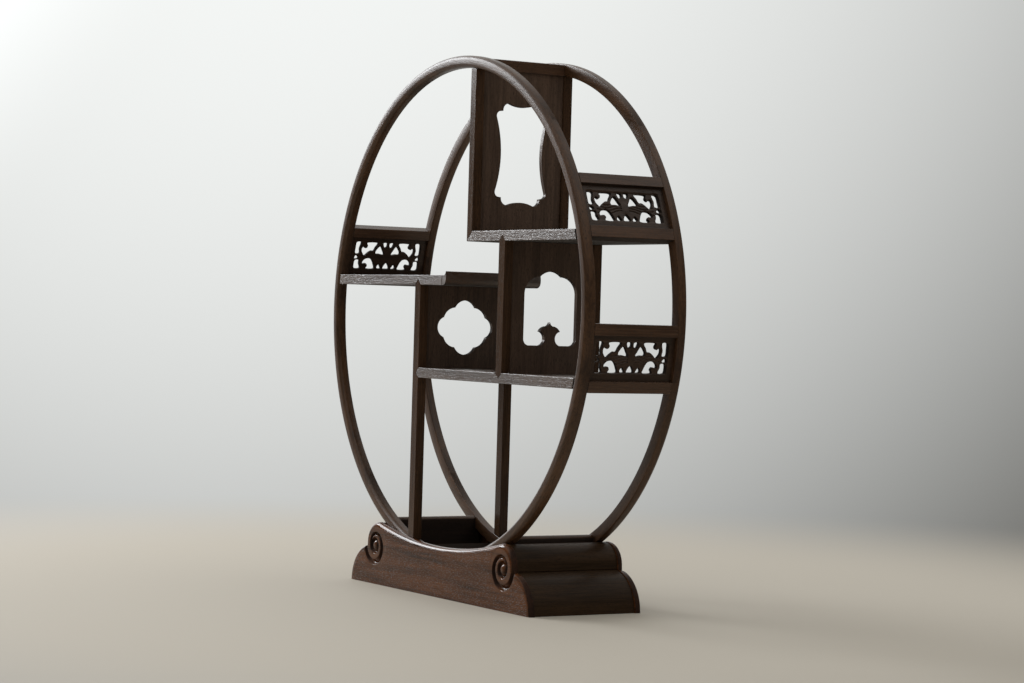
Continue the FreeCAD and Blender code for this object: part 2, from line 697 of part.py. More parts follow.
# Cut the sockets in the rings, then write every piece.
for number, piece in enumerate(ring_parts):
    finished = piece.cut(ring_sockets)
    save(finished, "front_ring_segment_%d" % (number + 1))
    save(to_back(finished), "back_ring_segment_%d" % (number + 1))
save(group(pin_places), "front_ring_pins")
save(group([to_back(pin) for pin in pin_places]), "back_ring_pins")

for name, pieces in guards.items():
    for role, shape in pieces.items():
        save(shape, name + "_" + role)

save(left_shelf, "left_shelf")
save(left_shelf_lip, "left_shelf_lip")
save(upper_shelf, "upper_shelf")
save(bottom_shelf, "bottom_shelf")
save(left_post, "left_front_post")
save(to_back(left_post), "left_back_post")
save(left_panel, "left_partition_panel")
save(centre_stile, "centre_front_stile")
save(to_back(centre_stile), "centre_back_stile")
save(centre_panel, "centre_partition_panel")
save(upper_stile, "upper_front_stile")
save(to_back(upper_stile), "upper_back_stile")
save(upper_panel, "upper_partition_panel")
save(tie_rail, "upper_tie_rail")
save(front_board, "base_front_board")
save(back_board, "base_back_board")
save(upper_roll, "base_right_upper_roll")
save(to_left(upper_roll), "base_left_upper_roll")
save(lower_roll, "base_right_lower_roll")
save(to_left(lower_roll), "base_left_lower_roll")
save(side_tie, "base_right_tie")
save(left_tie, "base_left_tie")
save(right_bearer, "base_right_bearer")
save(left_bearer, "base_left_bearer")
save(group(blocks), "base_glue_blocks")
save(group(dowels), "base_dowels")
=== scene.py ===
import itertools
import json
import math

import bmesh
import bpy
import numpy as np
from mathutils import Matrix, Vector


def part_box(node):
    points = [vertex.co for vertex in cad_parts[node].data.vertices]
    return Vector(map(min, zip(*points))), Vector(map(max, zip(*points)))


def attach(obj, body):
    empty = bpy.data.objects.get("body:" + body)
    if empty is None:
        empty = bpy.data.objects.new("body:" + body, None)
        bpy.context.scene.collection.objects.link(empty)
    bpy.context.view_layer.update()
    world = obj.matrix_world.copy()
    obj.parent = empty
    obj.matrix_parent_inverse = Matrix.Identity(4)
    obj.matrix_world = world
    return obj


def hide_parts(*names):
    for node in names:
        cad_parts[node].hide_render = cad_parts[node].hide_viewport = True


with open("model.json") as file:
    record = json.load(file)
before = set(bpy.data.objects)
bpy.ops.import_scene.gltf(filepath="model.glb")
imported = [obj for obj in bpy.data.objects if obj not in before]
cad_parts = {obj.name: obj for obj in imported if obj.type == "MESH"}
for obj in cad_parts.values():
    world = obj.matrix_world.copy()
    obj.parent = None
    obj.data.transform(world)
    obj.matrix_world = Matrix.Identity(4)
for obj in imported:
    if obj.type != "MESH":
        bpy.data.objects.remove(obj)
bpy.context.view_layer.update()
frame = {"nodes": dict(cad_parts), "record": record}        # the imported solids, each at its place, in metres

mm = 0.001


# A few sizes are read off the solids, so that every new surface lies where they lie.
def spanOf(names):
    # least and greatest corner of several solids together
    corners = np.array([[list(c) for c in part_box(name)] for name in names])
    return corners[:, 0].min(0), corners[:, 1].max(0)


def nodesNamed(start):
    return sorted(name for name in frame["nodes"] if name.startswith(start))


frontSegments = nodesNamed("front_ring_segment_")
backSegments = nodesNamed("back_ring_segment_")
ringLow, ringHigh = spanOf(frontSegments)
ringRadius = (ringHigh[0] - ringLow[0]) / 2
ringCentre = ringHigh[2] - ringRadius
print("frame read: ring radius %.3f m, ring centre %.3f m above the floor" % (ringRadius, ringCentre))


# Wood finish: one group gives figure, fibres, pores and blotches from a position in the board.
def addNode(tree, kind, place, **values):
    node = tree.nodes.new(kind)
    node.location = place
    for key, value in values.items():
        setattr(node, key, value)
    return node


def stretchedNoise(tree, source, place, layer):
    # noise drawn out along the grain: its position is scaled by a different amount on each axis
    mapping = addNode(tree, "ShaderNodeMapping", place)
    mapping.inputs["Scale"].default_value = layer["scale"]
    noise = addNode(tree, "ShaderNodeTexNoise", (place[0] + 180, place[1]))
    noise.inputs["Scale"].default_value = 1.0
    noise.inputs["Detail"].default_value = layer["detail"]
    noise.inputs["Roughness"].default_value = layer["rough"]
    noise.inputs["Distortion"].default_value = layer["warp"]
    tree.links.new(source, mapping.inputs["Vector"])
    tree.links.new(mapping.outputs["Vector"], noise.inputs["Vector"])
    return noise.outputs["Fac"]


def mapped(tree, source, place, turn, least=0.0):
    # a smooth step from the least value up to 1, between the two ends of the turn
    node = addNode(tree, "ShaderNodeMapRange", place, interpolation_type="SMOOTHSTEP")
    node.inputs["From Min"].default_value = turn[0]
    node.inputs["From Max"].default_value = turn[1]
    node.inputs["To Min"].default_value = least
    node.inputs["To Max"].default_value = 1.0
    tree.links.new(source, node.inputs["Value"])
    return node.outputs["Result"]


def maths(tree, operation, place, *values):
    # each value is a plain number or another node's output
    node = addNode(tree, "ShaderNodeMath", place, operation=operation)
    for socket, value in zip(node.inputs, values):
        if isinstance(value, (int, float)):
            socket.default_value = value
        else:
            tree.links.new(value, socket)
    return node.outputs["Value"]


def blended(tree, factor, first, second, place, kind="MIX"):
    # each colour is a plain one or another node's output
    node = addNode(tree, "ShaderNodeMix", place, data_type="RGBA", blend_type=kind)
    tree.links.new(factor, node.inputs["Factor"])
    for socket, value in ((node.inputs["A"], first), (node.inputs["B"], second)):
        if isinstance(value, tuple):
            socket.default_value = value + (1.0,)
        else:
            tree.links.new(value, socket)
    return node.outputs["Result"]


grainLook = {
    "layers": {     # scales are per metre, along the grain and across it; flecks are short raised fibres
        "figure": {"scale": (3.2, 75.0, 75.0), "detail": 3.0, "rough": 0.55, "warp": 0.4},
        "fibre": {"scale": (22.0, 460.0, 460.0), "detail": 2.0, "rough": 0.6, "warp": 0.0},
        "pore": {"scale": (160.0, 1100.0, 1100.0), "detail": 1.0, "rough": 0.4, "warp": 0.0},
        "blotch": {"scale": (5.0, 9.0, 9.0), "detail": 2.0, "rough": 0.5, "warp": 0.0},
        "fleck": {"scale": (165.0, 540.0, 540.0), "detail": 1.0, "rough": 0.5, "warp": 0.0},
    },
    "figureTurn": (0.34, 0.66), "fibreTurn": (0.34, 0.66),              # where each noise goes from 0 to 1
    "blotchTurn": (0.3, 0.7), "poreTurn": (0.56, 0.70),
    "crowdTurn": (0.30, 0.62), "crowdLeast": 0.45,                      # pores crowd in the light bands
    "figureShare": 0.45, "fibreShare": 0.35, "blotchShare": 0.20,       # shares of the tone
    "fibreCoarse": 0.5,                                                 # its share of the roughness
    "poreDrop": 0.45, "fleckRise": 0.75,                                # shares of the relief
    "endAndShadeTint": (0.28, 0.27, 0.27), "endRough": 0.55,                    # faces across the grain are darker and rougher; on marked sides and undersides the darkening is painted shade
}
groupSockets = (
    ("INPUT", "NodeSocketVector", ("Position",)),
    ("INPUT", "NodeSocketColor", ("Dark", "Light", "Pore")),
    ("INPUT", "NodeSocketFloat", ("Pore Strength", "Fibre Rise", "Smooth", "Rough", "Polish", "End")),
    ("OUTPUT", "NodeSocketColor", ("Color",)),
    ("OUTPUT", "NodeSocketFloat", ("Roughness", "Height")),
)


def makeGrainGroup(look):
    tree = bpy.data.node_groups.new("openGrainWood", "ShaderNodeTree")
    for way, kind, names in groupSockets:
        for name in names:
            tree.interface.new_socket(name, in_out=way, socket_type=kind)
    start = addNode(tree, "NodeGroupInput", (-900, 0))
    end = addNode(tree, "NodeGroupOutput", (900, 0))
    given = {socket.name: socket for socket in start.outputs}
    noise = {}
    for row, (name, layer) in enumerate(look["layers"].items()):
        noise[name] = stretchedNoise(tree, given["Position"], (-650, 300 - 240 * row), layer)
    band = mapped(tree, noise["figure"], (-250, 300), look["figureTurn"])
    thread = mapped(tree, noise["fibre"], (-250, 60), look["fibreTurn"])
    stain = mapped(tree, noise["blotch"], (-250, -460), look["blotchTurn"])
    crowd = mapped(tree, noise["figure"], (-250, -300), look["crowdTurn"], look["crowdLeast"])
    hollow = mapped(tree, noise["pore"], (-250, -180), look["poreTurn"])
    hollow = maths(tree, "MULTIPLY", (-60, -220), hollow, crowd)
    worked = maths(tree, "SUBTRACT", (-60, -420), 1.0, given["Polish"])        # carving is rubbed smooth
    tone = maths(tree, "MULTIPLY", (-60, 100), thread, look["fibreShare"])
    tone = maths(tree, "MULTIPLY_ADD", (-60, 260), band, look["figureShare"], tone)
    tone = maths(tree, "MULTIPLY_ADD", (120, 200), stain, look["blotchShare"], tone)
    color = blended(tree, tone, given["Dark"], given["Light"], (320, 240))
    strength = maths(tree, "MULTIPLY", (120, -120), hollow, given["Pore Strength"])
    color = blended(tree, strength, color, given["Pore"], (520, 200))
    # end grain is darker; the same darkening on sides and undersides is painted shade
    color = blended(tree, given["End"], color, look["endAndShadeTint"], (700, 200), "MULTIPLY")
    coarse = maths(tree, "MULTIPLY", (120, 0), thread, look["fibreCoarse"])
    coarse = maths(tree, "ADD", (220, -40), coarse, hollow)
    coarse = maths(tree, "MULTIPLY", (260, -80), coarse, worked)
    rough = addNode(tree, "ShaderNodeMapRange", (380, -60))
    tree.links.new(coarse, rough.inputs["Value"])
    tree.links.new(given["Smooth"], rough.inputs["To Min"])
    tree.links.new(given["Rough"], rough.inputs["To Max"])
    ending = maths(tree, "MULTIPLY", (260, -160), given["End"], look["endRough"])
    roughness = maths(tree, "ADD", (560, -100), rough.outputs["Result"], ending)
    height = maths(tree, "MULTIPLY", (120, -320), hollow, -look["poreDrop"])
    height = maths(tree, "MULTIPLY_ADD", (320, -300), thread, given["Fibre Rise"], height)
    height = maths(tree, "MULTIPLY_ADD", (420, -420), noise["fleck"], look["fleckRise"], height)
    height = maths(tree, "MULTIPLY", (600, -320), height, worked)
    for name, value in (("Color", color), ("Roughness", roughness), ("Height", height)):
        tree.links.new(value, end.inputs[name])
    return tree


grainGroup = makeGrainGroup(grainLook)

finishes = {        # relief is how deep the pores and fibres look
    "ring_wood": {
        "dark": (0.040, 0.0196, 0.0094), "light": (0.116, 0.0570, 0.0272), "pore": (0.016, 0.009, 0.006),
        "poreStrength": 0.7, "fibreRise": 3.0, "relief": 0.010 * mm,
        "smooth": 0.29, "rough": 0.42, "ior": 1.38,
    },
    "shelf_wood": {
        "dark": (0.036, 0.0190, 0.0105), "light": (0.096, 0.052, 0.029), "pore": (0.014, 0.009, 0.006),
        "poreStrength": 0.8, "fibreRise": 0.25, "relief": 0.40 * mm,
        "smooth": 0.29, "rough": 0.47, "ior": 1.84,
    },
    "post_wood": {
        "dark": (0.033, 0.0172, 0.0090), "light": (0.090, 0.047, 0.025), "pore": (0.014, 0.008, 0.005),
        "poreStrength": 0.7, "fibreRise": 0.25, "relief": 0.06 * mm,
        "smooth": 0.18, "rough": 0.30, "ior": 1.29,
    },
    "panel_wood": {
        "dark": (0.055, 0.0335, 0.0225), "light": (0.142, 0.089, 0.062), "pore": (0.015, 0.009, 0.006),
        "poreStrength": 0.6, "fibreRise": 0.25, "relief": 0.22 * mm,
        "smooth": 0.28, "rough": 0.44, "ior": 1.42,
    },
    "guard_wood": {
        "dark": (0.024, 0.0132, 0.0080), "light": (0.062, 0.034, 0.020), "pore": (0.010, 0.006, 0.004),
        "poreStrength": 0.5, "fibreRise": 0.25, "relief": 0.14 * mm,
        "smooth": 0.30, "rough": 0.46, "ior": 1.38,
    },
    "rail_wood": {
        "dark": (0.044, 0.0230, 0.0135), "light": (0.114, 0.061, 0.036), "pore": (0.015, 0.009, 0.006),
        "poreStrength": 0.6, "fibreRise": 0.25, "relief": 0.10 * mm,
        "smooth": 0.20, "rough": 0.32, "ior": 1.37,
    },
    "base_board_wood": {
        "dark": (0.028, 0.0108, 0.0044), "light": (0.156, 0.0560, 0.0195), "pore": (0.018, 0.009, 0.006),
        "poreStrength": 0.85, "fibreRise": 0.25, "relief": 0.46 * mm,
        "smooth": 0.13, "rough": 0.36, "ior": 1.285,
    },
    # darker than the boards' wood of the same kind; part of that darkness is painted shade
    "base_roll_wood": {
        "dark": (0.020, 0.0112, 0.0056), "light": (0.050, 0.0275, 0.0135), "pore": (0.010, 0.006, 0.004),
        "poreStrength": 0.6, "fibreRise": 0.25, "relief": 0.18 * mm,
        "smooth": 0.34, "rough": 0.50, "ior": 1.18,
    },
    # nearly black and without sheen: painted shade of the inside of the base
    "base_inner_wood": {
        "dark": (0.010, 0.0060, 0.0040), "light": (0.024, 0.015, 0.010), "pore": (0.006, 0.004, 0.003),
        "poreStrength": 0.6, "fibreRise": 0.25, "relief": 0.18 * mm,
        "smooth": 0.75, "rough": 0.90, "ior": 1.12,
    },
    "hidden_wood": {
        "dark": (0.22, 0.14, 0.08), "light": (0.36, 0.25, 0.15), "pore": (0.15, 0.09, 0.05),
        "poreStrength": 0.4, "fibreRise": 0.25, "relief": 0.14 * mm,
        "smooth": 0.60, "rough": 0.75, "ior": 1.40,
    },
}
pieceLayers = (("grain", "Vector", "Position"), ("polish", "Fac", "Polish"), ("endGrainAndShade", "Fac", "End"))


def makeWood(slot, onObject=False):
    # the grain follows the piece's own attributes, or Object coordinates where a solid is shown as it is
    look = finishes[slot]
    wood = bpy.data.materials.new(slot + ("_solid" if onObject else ""))
    wood.use_nodes = True
    tree = wood.node_tree
    shader = tree.nodes["Principled BSDF"]
    grain = addNode(tree, "ShaderNodeGroup", (-450, 0), node_tree=grainGroup)
    if onObject:
        place = addNode(tree, "ShaderNodeTexCoord", (-700, 0))
        tree.links.new(place.outputs["Object"], grain.inputs["Position"])
    else:
        for row, (name, output, socket) in enumerate(pieceLayers):
            layer = addNode(tree, "ShaderNodeAttribute", (-700, -220 * row), attribute_name=name)
            tree.links.new(layer.outputs[output], grain.inputs[socket])
    for socket, key in (("Dark", "dark"), ("Light", "light"), ("Pore", "pore")):
        grain.inputs[socket].default_value = look[key] + (1.0,)
    for socket, key in (("Pore Strength", "poreStrength"), ("Fibre Rise", "fibreRise"),
                        ("Smooth", "smooth"), ("Rough", "rough")):
        grain.inputs[socket].default_value = look[key]
    bump = addNode(tree, "ShaderNodeBump", (-200, -250))
    bump.inputs["Distance"].default_value = look["relief"]
    tree.links.new(grain.outputs["Height"], bump.inputs["Height"])
    tree.links.new(grain.outputs["Color"], shader.inputs["Base Color"])
    tree.links.new(grain.outputs["Roughness"], shader.inputs["Roughness"])
    tree.links.new(bump.outputs["Normal"], shader.inputs["Normal"])
    shader.inputs["IOR"].default_value = look["ior"]
    return wood


woods = {slot: makeWood(slot) for slot in finishes if slot != "hidden_wood"}
slotOf = {part["node"]: part["material_slot"] for part in frame["record"]["subparts"]}
print("finishes made:", len(woods))


# Pieces: a mesh each, with its place in the board kept as the attribute "grain".
pieceLook = {
    "boardStep": (0.731, 0.217, 0.389),     # metres from one piece's grain to the next one's
    "crease": 38.0,                         # degrees past which an edge stays sharp
    "ends": (0.3, 0.35),                    # cosine where a face starts to be dull and darker, and how far that runs
    # sides and below darken faces that look along X and faces that look down: painted shade
    "sides": (0.95, 0.04),
    "below": (0.6, 0.3),
}
axisPairs = {"x": ((1, 0, 0), (0, 1, 0)), "y": ((0, 1, 0), (0, 0, 1)), "z": ((0, 0, 1), (1, 0, 0))}
boardNumbers = itertools.count(1)           # each piece is cut from another board


def gridQuads(rows, columns, first=0, closed=False):
    # corner numbers of the quads of a grid stored row by row, closed round its columns when asked
    across = columns if closed else columns - 1
    row, column = np.meshgrid(np.arange(rows - 1), np.arange(across), indexing="ij")
    following = (column + 1) % columns
    corners = [row * columns + column, row * columns + following,
               (row + 1) * columns + following, (row + 1) * columns + column]
    return np.stack([c.ravel() for c in corners], 1) + first


def boardPosition(points, along, across):
    # coordinates along the grain, across it and through the board, from two unit directions
    along = np.array(along, float)
    across = np.array(across, float)
    axes = np.stack([along, across, np.cross(along, across)], 1)
    return points @ axes


def dullAndShadeShare(facing, along, dullAndShade):
    # from 0 to 1 by face: how squarely it cuts the grain, looks along X, or looks down, whichever is most; the
    # darkening of the last two is painted shade
    leans = {"ends": np.abs(facing @ np.array(along, float)),
             "sides": np.abs(facing[:, 0]), "below": -facing[:, 2]}
    share = np.zeros(len(facing))
    for kind in dullAndShade:
        start, run = pieceLook[kind]
        share = np.maximum(share, np.clip((leans[kind] - start) / run, 0, 1))
    return share


def setGrain(mesh, along, across, dullAndShade):
    points = np.empty(len(mesh.vertices) * 3)
    mesh.vertices.foreach_get("co", points)
    place = boardPosition(points.reshape(-1, 3), along, across)
    place = place + next(boardNumbers) * np.array(pieceLook["boardStep"])
    layer = mesh.attributes.new("grain", "FLOAT_VECTOR", "POINT")
    layer.data.foreach_set("vector", place.astype(np.float32).ravel())
    facing = np.empty(len(mesh.polygons) * 3)
    mesh.polygons.foreach_get("normal", facing)
    share = dullAndShadeShare(facing.reshape(-1, 3), along, dullAndShade)
    layer = mesh.attributes.new("endGrainAndShade", "FLOAT", "FACE")
    layer.data.foreach_set("value", share.astype(np.float32))


def faceOutwards(mesh):
    work = bmesh.new()
    work.from_mesh(mesh)
    bmesh.ops.recalc_face_normals(work, faces=work.faces)
    work.to_mesh(mesh)
    work.free()


def finishPiece(mesh, node, along, across, crease=pieceLook["crease"], dullAndShade=("ends",), slot=None):
    setGrain(mesh, along, across, dullAndShade)
    mesh.polygons.foreach_set("use_smooth", np.ones(len(mesh.polygons), bool))
    mesh.set_sharp_from_angle(angle=math.radians(crease))
    slot = slot or slotOf[node]
    mesh.materials.clear()
    mesh.materials.append(woods[slot])
    piece = bpy.data.objects.new("seen_" + node, mesh)
    bpy.context.scene.collection.objects.link(piece)
    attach(piece, "root")
    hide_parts(node)
    return piece


def meshFrom(name, points, faces):
    mesh = bpy.data.meshes.new(name)
    mesh.from_pydata(points.tolist(), [], faces)
    mesh.update()
    faceOutwards(mesh)
    return mesh


# Ring segments: a rounded section carried round an arc, as a front and a back layer with lapped ends.
ringShape = {
    "width": 19.0 * mm, "frontRound": 6.5 * mm, "backRound": 1.2 * mm,
    "frontSteps": 9, "backSteps": 4,        # points on each quarter circle
    "firstJoint": 49.5, "lap": 24.0 * mm,   # the joint's angle is in degrees from +X
    "step": 3.2 * mm, "seam": 0.06 * mm,
    "seamClear": 4,                         # the even rows start this many seam widths from an end
}


def quarter(centre, radius, first, last, count):
    turn = np.radians(np.linspace(first, last, count))
    return np.stack([centre[0] + radius * np.cos(turn), centre[1] + radius * np.sin(turn)], 1)


def frontLayer(inner, outer, front, split, shape):
    # section in radius and depth: flat at the split, with both front corners turned by quarter circles
    r = shape["frontRound"]
    count = shape["frontSteps"]
    return np.concatenate([[(inner, split)], quarter((inner + r, front + r), r, 180, 270, count),
                           quarter((outer - r, front + r), r, 270, 360, count), [(outer, split)]])


def backLayer(inner, outer, back, split, shape):
    # the same for the layer behind it, with both back corners turned
    r = shape["backRound"]
    count = shape["backSteps"]
    return np.concatenate([[(outer, split)], quarter((outer - r, back - r), r, 0, 90, count),
                           quarter((inner + r, back - r), r, 90, 180, count), [(inner, split)]])


def sweepRing(section, first, last, shape):
    # x and z go round the ring and y stays; the section shrinks a little at both ends, to show the seam
    steps = int(math.radians(last - first) * ringRadius / shape["step"])
    tip = math.degrees(shape["seam"] / ringRadius)
    even = np.linspace(first + shape["seamClear"] * tip, last - shape["seamClear"] * tip, steps)
    turns = np.concatenate([[first, first + tip], even, [last - tip, last]])
    shrink = np.zeros(len(turns))
    shrink[[0, -1]] = shape["seam"]
    middle = section.mean(0)
    away = section - middle
    size = np.linalg.norm(away, axis=1, keepdims=True)
    rings = middle + away[None] * (1 - shrink[:, None, None] / size[None])
    angle = np.radians(turns)[:, None]
    points = np.stack([rings[..., 0] * np.cos(angle), rings[..., 1],
                       ringCentre + rings[..., 0] * np.sin(angle)], 2)
    columns = len(section)
    faces = gridQuads(len(turns), columns, closed=True).tolist()
    faces += [list(range(columns)), list(range((len(turns) - 1) * columns, len(turns) * columns))]
    return points.reshape(-1, 3), faces


def makeRings(shape):
    # the layers of a segment are turned against each other by the lap; the back ring mirrors the front one
    inner = ringRadius - shape["width"]
    split = (ringLow[1] + ringHigh[1]) / 2
    frontSection = frontLayer(inner, ringRadius, ringLow[1], split, shape)
    backSection = backLayer(inner, ringRadius, ringHigh[1], split, shape)
    sweep = 360.0 / len(frontSegments)
    lap = math.degrees(shape["lap"] / (ringRadius - shape["width"] / 2))
    for number, nodes in enumerate(zip(frontSegments, backSegments)):
        joint = shape["firstJoint"] + number * sweep
        a, facesA = sweepRing(frontSection, joint, joint + sweep, shape)
        b, facesB = sweepRing(backSection, joint - lap, joint - lap + sweep, shape)
        points = np.concatenate([a, b])
        faces = facesA + [[corner + len(a) for corner in face] for face in facesB]
        middle = math.radians(joint + sweep / 2)
        along = (-math.sin(middle), 0, math.cos(middle))
        across = (math.cos(middle), 0, math.sin(middle))
        for side, node in zip((1, -1), nodes):
            mesh = meshFrom(node, points * np.array([1, side, 1]), faces)
            finishPiece(mesh, node, along, across)
    print("ring segments swept:", len(frontSegments) + len(backSegments))


makeRings(ringShape)


# Base boards: columns of points from the floor to the scrolled top edge, pushed back by the carving.
boardLow, boardHigh = spanOf(["base_front_board"])
boardShape = {
    "rollRadius": 35.0 * mm, "lobeShow": 51.0 * mm, "lobeReach": 61.5 * mm, "lobeHeight": 61.5 * mm,
    "cradleDrop": 22.0 * mm, "drop": 0.6 * mm, "carvedFrom": 165.0 * mm,
    "topRound": 7.5 * mm, "lobeRound": 4.0 * mm, "backRound": 1.0 * mm, "footRound": 0.8 * mm,
    "rim": 7.0 * mm, "rimFade": 2.0 * mm,       # the edge that is rubbed smooth
    "plainColumns": 46, "carvedColumns": 34, "rollColumns": 84, "lobeColumns": 72,
    "lobeEnd": 0.02,                            # angle on its ellipse where the lobe stops, near the floor
    "footRows": (0, 0.004, 0.010),              # shares of the height
    "middleRows": (0.02, 0.93, 104),            # first share, last share and count
    "topRows": (0.06, 0.1, 10),                 # share of the height, first angle of the sine and count
    "backRows": (0, 0.01, 0.5, 0.97, 0.985, 0.993, 1.0),
    "crease": 50.0,
}
voluteShape = {
    "outwards": 5.5 * mm, "lift": 1.4 * mm, "inner": 10.3 * mm, "reach": 39.0 * mm, "fade": 4.0 * mm,
    "turns": np.pi * np.array([-0.06, 0.0, 0.25, 0.5, 1.0, 1.5, 1.75, 2.0, 2.25, 4.0]),
    "line": mm * np.array([30.5, 30.2, 29.6, 28.4, 25.2, 19.8, 16.4, 12.8, 10.4, 10.3]),
    "depth": mm * np.array([0.0, 5.4, 6.6, 7.0, 6.6, 5.0, 5.0, 5.2, 5.4, 5.4]),
    "outerSide": mm * np.array([5.0, 5.0, 4.0, 3.2, 4.2, 2.4, 2.6, 3.0, 3.6, 3.6]),
    "innerSide": mm * np.array([5.0, 5.0, 5.6, 6.6, 5.6, 3.4, 3.6, 3.6, 3.4, 3.4]),
    "outerSoft": np.array([1.0, 1.0, 1.0, 1.0, 1.0, 1.2, 1.5, 1.7, 1.7, 1.7]), "innerSoft": 1.7,
    "floorPower": 2.2, "eyePower": 3.0,         # a higher power gives a flatter groove floor or eye
}


def boardTop(shape):
    # half of the top edge, from the middle outwards: a hollow arc, the roll's arc, a short drop and
    # part of an ellipse; the hollow touches the roll where the line between their centres crosses them
    half = boardHigh[0]
    rr = shape["rollRadius"]
    side = half - shape["lobeShow"]
    rollX = side - rr
    rollZ = boardHigh[2] - rr
    bottom = boardHigh[2] - shape["cradleDrop"]
    drop = bottom - rollZ
    hollow = (rollX ** 2 + drop ** 2 - rr ** 2) / (2 * (rr - drop))
    touch = math.asin(rollX / (hollow + rr))
    fine = math.asin(shape["carvedFrom"] / hollow)
    a = np.concatenate([np.linspace(0, fine, shape["plainColumns"]),
                        np.linspace(fine, touch, shape["carvedColumns"])[1:]])
    arc = np.stack([hollow * np.sin(a), bottom + hollow * (1 - np.cos(a))], 1)
    b = np.linspace(math.pi / 2 + touch, 0, shape["rollColumns"])[1:]
    roll = np.stack([rollX + rr * np.cos(b), rollZ + rr * np.sin(b)], 1)
    lobeX = half - shape["lobeReach"]
    notch = math.acos((side + shape["drop"] - lobeX) / shape["lobeReach"])
    t = np.linspace(notch, shape["lobeEnd"], shape["lobeColumns"])
    lobe = np.stack([lobeX + shape["lobeReach"] * np.cos(t), shape["lobeHeight"] * np.sin(t)], 1)
    return np.concatenate([arc, roll, lobe]), rollX


def boardRows(shape):
    # shares of the height: set at the foot, even in the middle, and drawing together by a sine at the top
    span, start, count = shape["topRows"]
    top = 1 - span * (1 - np.sin(np.linspace(start, np.pi / 2, count)))
    return np.concatenate([shape["footRows"], np.linspace(*shape["middleRows"]), top])


def columnsUnder(edge, rows):
    # x and z of a grid: each point of the edge line, and its height times each share
    return np.repeat(edge[:, :1], len(rows), 1), edge[:, 1:] * rows[None]


def distanceTo(x, z, path, batch=4000):
    # least distance from each point to a chain of straight steps, a batch of points at a time
    start = path[:-1]
    step = path[1:] - start
    length = (step ** 2).sum(1)
    spots = np.stack([x.ravel(), z.ravel()], 1)
    parts = []
    for some in np.array_split(spots, len(spots) // batch + 1):
        offset = some[:, None] - start[None]
        share = np.clip((offset * step[None]).sum(2) / length[None], 0, 1)
        parts.append(np.sqrt(((offset - share[..., None] * step[None]) ** 2).sum(2)).min(1))
    return np.concatenate(parts).reshape(x.shape)


def turnedEdge(distance, radius):
    # depth of a quarter-round edge at a distance inside the outline
    inside = np.clip(radius - distance, 0, radius)
    return radius - np.sqrt(radius ** 2 - inside ** 2)


def voluteDepth(x, z, centreX, centreZ, shape):
    # a groove whose line draws in towards the middle with the angle turned from the notch, down to a ring
    # round the eye; its outer wall is steep, its inner one eases into a rounded ridge, the eye is a dome
    turn = np.arctan2(centreZ - z, x - centreX) % (2 * np.pi)
    away = np.hypot(x - centreX, z - centreZ)
    deepest = np.zeros_like(x)
    for winding in (-1, 0, 1):
        t = turn + 2 * np.pi * winding
        offset = away - np.interp(t, shape["turns"], shape["line"])
        side = np.where(offset > 0, np.interp(t, shape["turns"], shape["outerSide"]),
                        np.interp(t, shape["turns"], shape["innerSide"]))
        share = np.clip(np.abs(offset) / side, 0, 1)
        soft = np.where(offset > 0, np.interp(t, shape["turns"], shape["outerSoft"]), shape["innerSoft"])
        depth = np.interp(t, shape["turns"], shape["depth"], left=0, right=0)
        deepest = np.maximum(deepest, depth * (1 - share ** shape["floorPower"]) ** soft)
    dome = shape["depth"][-1] * (away / shape["inner"]) ** shape["eyePower"]
    return np.where(away < shape["inner"], dome, deepest)


def boardFaces(count, frontCount, backCount):
    # quads of the front grid, the back grid and the strips between their edges, and a cap at each end
    first = count * frontCount
    faces = np.concatenate([gridQuads(count, frontCount), gridQuads(count, backCount, first)]).tolist()
    front = np.arange(count) * frontCount
    back = first + np.arange(count) * backCount
    for f, b in ((front, back), (front + frontCount - 1, back + backCount - 1)):
        faces += np.stack([f[:-1], f[1:], b[1:], b[:-1]], 1).tolist()
    for column in (0, count - 1):
        upwards = np.arange(front[column], front[column] + frontCount)
        downwards = np.arange(back[column], back[column] + backCount)[::-1]
        faces.append(np.concatenate([upwards, downwards]).tolist())
    return faces


def makeBoards(shape, volute):
    # each face is a grid of columns under the edge line; the front one lies back by the turned edge or by
    # the carving, whichever is deeper, and the back one by a small turned edge
    half, rollX = boardTop(shape)
    edge = np.concatenate([half[:0:-1] * np.array([-1, 1]), half])
    x, z = columnsUnder(edge, boardRows(shape))
    gap = distanceTo(x, z, edge)
    lobeStart = rollX + shape["rollRadius"] + shape["drop"] / 2
    rounding = np.where(np.abs(x) > lobeStart, shape["lobeRound"], shape["topRound"])
    depth = np.maximum(turnedEdge(gap, rounding), turnedEdge(z, shape["footRound"]))
    centreX = rollX + volute["outwards"]
    centreZ = shape["lobeHeight"] + volute["lift"]
    carved = voluteDepth(np.abs(x), z, centreX, centreZ, volute)
    within = volute["reach"] - np.hypot(np.abs(x) - centreX, z - centreZ)
    polish = np.clip(within / volute["fade"], 0, 1)
    polish = np.maximum(polish, np.clip((shape["rim"] - gap) / shape["rimFade"], 0, 1))
    front = np.stack([x, boardLow[1] + np.maximum(depth, carved), z], 2)
    backX, backZ = columnsUnder(edge, np.array(shape["backRows"]))
    backDepth = turnedEdge(distanceTo(backX, backZ, edge), shape["backRound"])
    back = np.stack([backX, boardHigh[1] - backDepth, backZ], 2)
    points = np.concatenate([front.reshape(-1, 3), back.reshape(-1, 3)])
    polish = np.concatenate([polish.ravel(), np.zeros(backX.size)]).astype(np.float32)
    faces = boardFaces(len(edge), x.shape[1], backX.shape[1])
    for side, node in ((1, "base_front_board"), (-1, "base_back_board")):
        mesh = meshFrom(node, points * np.array([1, side, 1]), faces)
        layer = mesh.attributes.new("polish", "FLOAT", "POINT")
        layer.data.foreach_set("value", polish)
        finishPiece(mesh, node, *axisPairs["x"], crease=shape["crease"])
    print("base boards carved, %d points each" % len(points))


makeBoards(boardShape, voluteShape)


